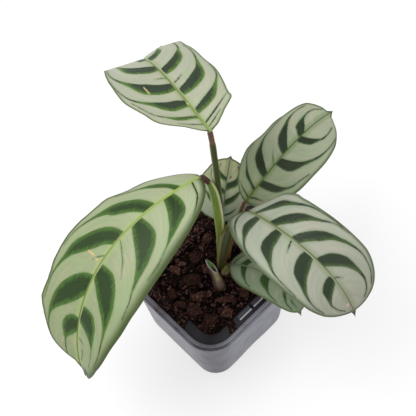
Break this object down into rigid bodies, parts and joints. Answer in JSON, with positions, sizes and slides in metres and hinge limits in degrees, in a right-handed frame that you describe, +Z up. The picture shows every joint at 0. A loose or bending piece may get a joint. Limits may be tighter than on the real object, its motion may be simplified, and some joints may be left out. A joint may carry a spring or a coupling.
{
  "type": "potted ctenanthe",
  "caption": "Young ctenanthe with pale, dark-blotched leaves arching from a crown, in a small square dark-grey grower's pot of bark and peat mix.",
  "frame": {"origin": "centre of the underside of the pot, which stands on the surface", "axes": "+Z up; the pot's sides lie along X and Y, with the foot notches under the two X sides; the leaf called front hangs over the -Y side and the leaf called side over the +X side"},
  "size_m": [0.2184, 0.2504, 0.2164],
  "materials": {
    "pot_plastic": "satin moulded polypropylene, dark grey",
    "potting_mix": "damp bark and peat mix, rough, very dark brown",
    "bark": "broken pine bark chips, rough, dark red-brown",
    "leaf": "satin living leaf: pale silvery green with dark green blotches, dull purple underside",
    "old_leaf": "satin old leaf: darker, yellowing, with worn brown spots",
    "stalk": "satin leaf stalk and sheath: olive green running to maroon-brown at the knee",
    "young_sheath": "satin rolled young sheath: brown-purple outside, bright green inside"
  },
  "bodies": {
    "root": {"pot": "pot_plastic", "soil": "potting_mix", "bark_01": "bark", "bark_02": "bark", "bark_03": "bark", "bark_04": "bark", "bark_05": "bark", "bark_06": "bark", "bark_07": "bark", "bark_08": "bark", "bark_09": "bark", "bark_10": "bark", "bark_11": "bark", "bark_12": "bark", "bark_13": "bark", "bark_14": "bark", "bark_15": "bark", "blade_tall": "leaf", "stalk_tall": "stalk", "blade_front": "leaf", "stalk_front": "stalk", "blade_back": "old_leaf", "stalk_back": "stalk", "blade_far": "leaf", "stalk_far": "stalk", "blade_side": "leaf", "stalk_side": "stalk", "blade_low": "leaf", "stalk_low": "stalk", "young_shoot": "young_sheath"}
  },
  "joints": []
}
